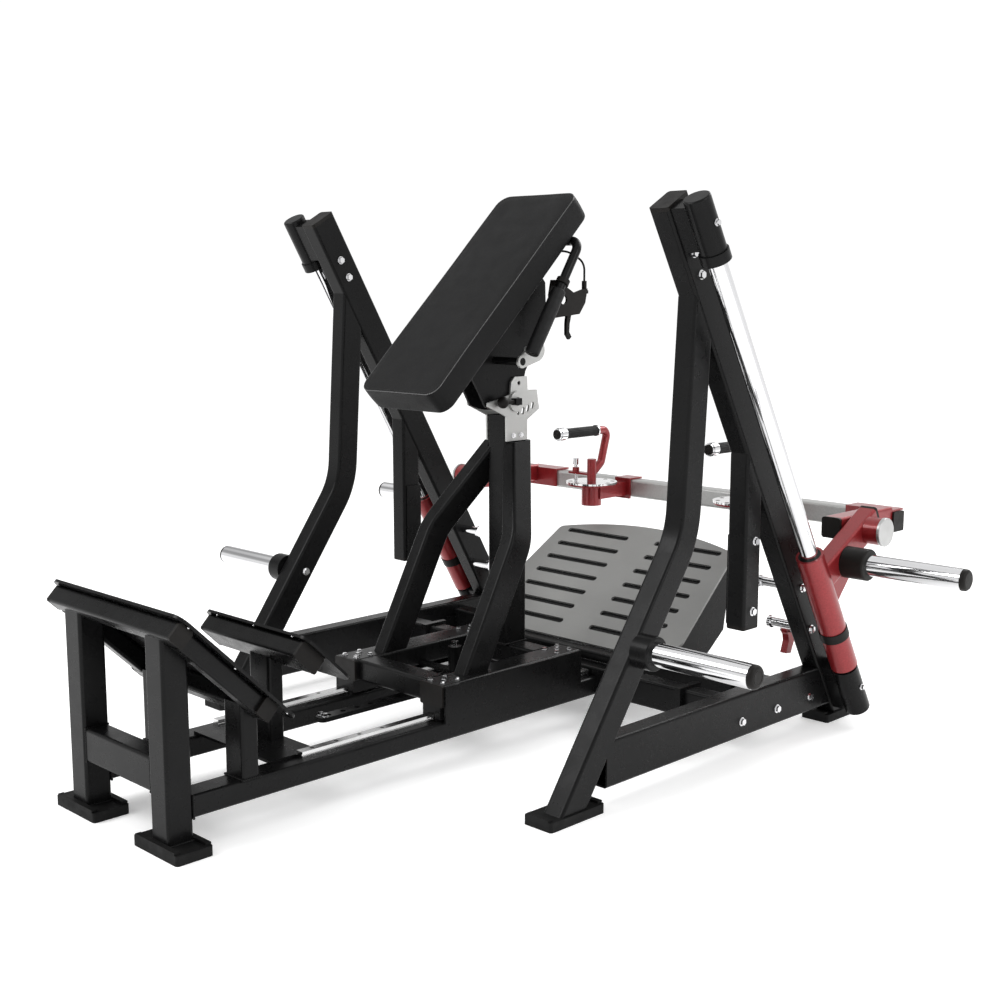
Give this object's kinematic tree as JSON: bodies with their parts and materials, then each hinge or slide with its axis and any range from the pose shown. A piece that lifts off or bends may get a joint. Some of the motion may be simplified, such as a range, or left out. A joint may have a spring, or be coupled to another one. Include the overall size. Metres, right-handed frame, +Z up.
{
  "type": "leg press machine",
  "caption": "Plate-loaded leg press: prone tilting pad on a sliding sled, sloping footplate, and a red press carriage with a swing bar riding on inclined guide rods.",
  "frame": {"origin": "on the floor under the middle of the whole machine, halfway along each extent", "axes": "+Z up, +X across the machine to its right side, +Y from the step plates at the front to the press carriage at the rear"},
  "size_m": [1.956, 1.86, 1.2667],
  "materials": {
    "black_paint": "satin black powder coat",
    "red_paint": "glossy metallic red paint",
    "silver_paint": "satin silver-grey paint",
    "silver_plate": "brushed plate",
    "satin_plate": "satin grey foot plate",
    "bright_steel": "ground bright steel",
    "chrome": "polished hard chrome",
    "black_plastic": "moulded black plastic",
    "black_rubber": "matt rubber",
    "grip_rubber": "ribbed rubber",
    "grip_foam": "smooth closed foam",
    "black_vinyl": "fine-grained black upholstery"
  },
  "bodies": {
    "frame": {"right_side_rail": "black_paint", "left_side_rail": "black_paint", "right_front_leg": "black_paint", "left_front_leg": "black_paint", "side_beams": "black_paint", "foot_shoes": "black_rubber", "end_plugs": "black_plastic", "guide_rods": "chrome", "rod_ends": "black_paint", "storage_horns": "chrome", "horn_collars": "black_paint", "cross_beams": "black_paint", "base_tubes": "black_paint", "step_posts": "black_paint", "step_bars": "black_paint", "step_plates": "black_paint", "slide_rails": "bright_steel", "index_bar": "black_paint", "footplate": "satin_plate", "footplate_frame": "black_paint", "frame_bolts": "chrome", "stop_pins": "chrome"},
    "press_carriage": {"press_sleeves": "red_paint", "carriage_arms": "red_paint", "sleeve_bushes": "black_plastic", "load_horns": "chrome", "load_trim": "black_plastic", "pivot_shafts": "bright_steel"},
    "swing_bar": {"bar_arms": "red_paint", "cross_bar": "silver_paint", "bar_caps": "black_plastic", "handle_mounts": "red_paint", "index_discs": "bright_steel"},
    "right_handle_body": {"right_handle": "red_paint", "right_grip": "grip_rubber", "right_grip_end": "chrome"},
    "left_handle_body": {"left_handle": "red_paint", "left_grip": "grip_rubber", "left_grip_end": "chrome"},
    "right_plunger_body": {"right_plunger": "chrome"},
    "left_plunger_body": {"left_plunger": "chrome"},
    "sled": {"sled_frame": "black_paint", "bearing_blocks": "black_paint", "pad_column": "black_paint", "pad_legs": "black_paint", "head_plates": "silver_plate", "sled_bolts": "chrome", "sled_caps": "black_plastic"},
    "sled_brake_body": {"sled_brake": "bright_steel"},
    "pad_head": {"pad": "black_vinyl", "pad_bracket": "black_paint", "pad_lugs": "silver_plate", "hand_bars": "black_paint", "hand_grips": "grip_foam", "brake_housing": "black_plastic", "brake_cable": "black_rubber"},
    "brake_lever_body": {"brake_lever": "black_plastic"},
    "tilt_knob_body": {"tilt_knob": "black_plastic"},
    "right_hook_body": {"right_stop_hook": "red_paint"},
    "left_hook_body": {"left_stop_hook": "red_paint"}
  },
  "joints": [
    {"name": "carriage_press", "type": "slide", "parent": "frame", "child": "press_carriage", "axis": [0, -0.5, 0.866], "range_m": [0, 0.5]},
    {"name": "bar_swing", "type": "hinge", "parent": "press_carriage", "child": "swing_bar", "pos_m": [0, 0.684, 0.483], "axis": [1, 0, 0], "range_deg": [0, 45]},
    {"name": "right_handle_turn", "type": "hinge", "parent": "swing_bar", "child": "right_handle_body", "pos_m": [0.258, 0.76, 0.497], "axis": [0, 0, 1], "range_deg": [-90, 90]},
    {"name": "left_handle_turn", "type": "hinge", "parent": "swing_bar", "child": "left_handle_body", "pos_m": [-0.258, 0.76, 0.497], "axis": [0, 0, -1], "range_deg": [-90, 90]},
    {"name": "right_plunger_slide", "type": "slide", "parent": "right_handle_body", "child": "right_plunger_body", "axis": [0, 0, -1], "range_m": [0, 0.005]},
    {"name": "left_plunger_slide", "type": "slide", "parent": "left_handle_body", "child": "left_plunger_body", "axis": [0, 0, -1], "range_m": [0, 0.005]},
    {"name": "sled_slide", "type": "slide", "parent": "frame", "child": "sled", "axis": [0, 1, 0], "range_m": [-0.2, 0.04]},
    {"name": "pad_tilt", "type": "hinge", "parent": "sled", "child": "pad_head", "pos_m": [0, 0.149, 0.781], "axis": [1, 0, 0], "range_deg": [-10, 15]},
    {"name": "tilt_knob_pull", "type": "slide", "parent": "pad_head", "child": "tilt_knob_body", "axis": [0, -1, 0], "range_m": [0, 0.01]},
    {"name": "brake_squeeze", "type": "hinge", "parent": "pad_head", "child": "brake_lever_body", "pos_m": [0.105, 0.262, 1.005], "axis": [1, 0, 0], "range_deg": [-20, 0], "stiffness_Nm_per_rad": 0.6},
    {"name": "sled_brake_press", "type": "slide", "parent": "sled", "child": "sled_brake_body", "axis": [0, 0, -1], "range_m": [0, 0.0012]},
    {"name": "right_hook_swing", "type": "hinge", "parent": "frame", "child": "right_hook_body", "pos_m": [0.491, 0.643, 0.216], "axis": [1, 0, 0], "range_deg": [0, 60]},
    {"name": "left_hook_swing", "type": "hinge", "parent": "frame", "child": "left_hook_body", "pos_m": [-0.491, 0.643, 0.216], "axis": [1, 0, 0], "range_deg": [0, 60]}
  ],
  "couplings": [
    {"joint": "sled_brake_press", "follows": "brake_squeeze", "m_per_rad": -0.003438}
  ]
}
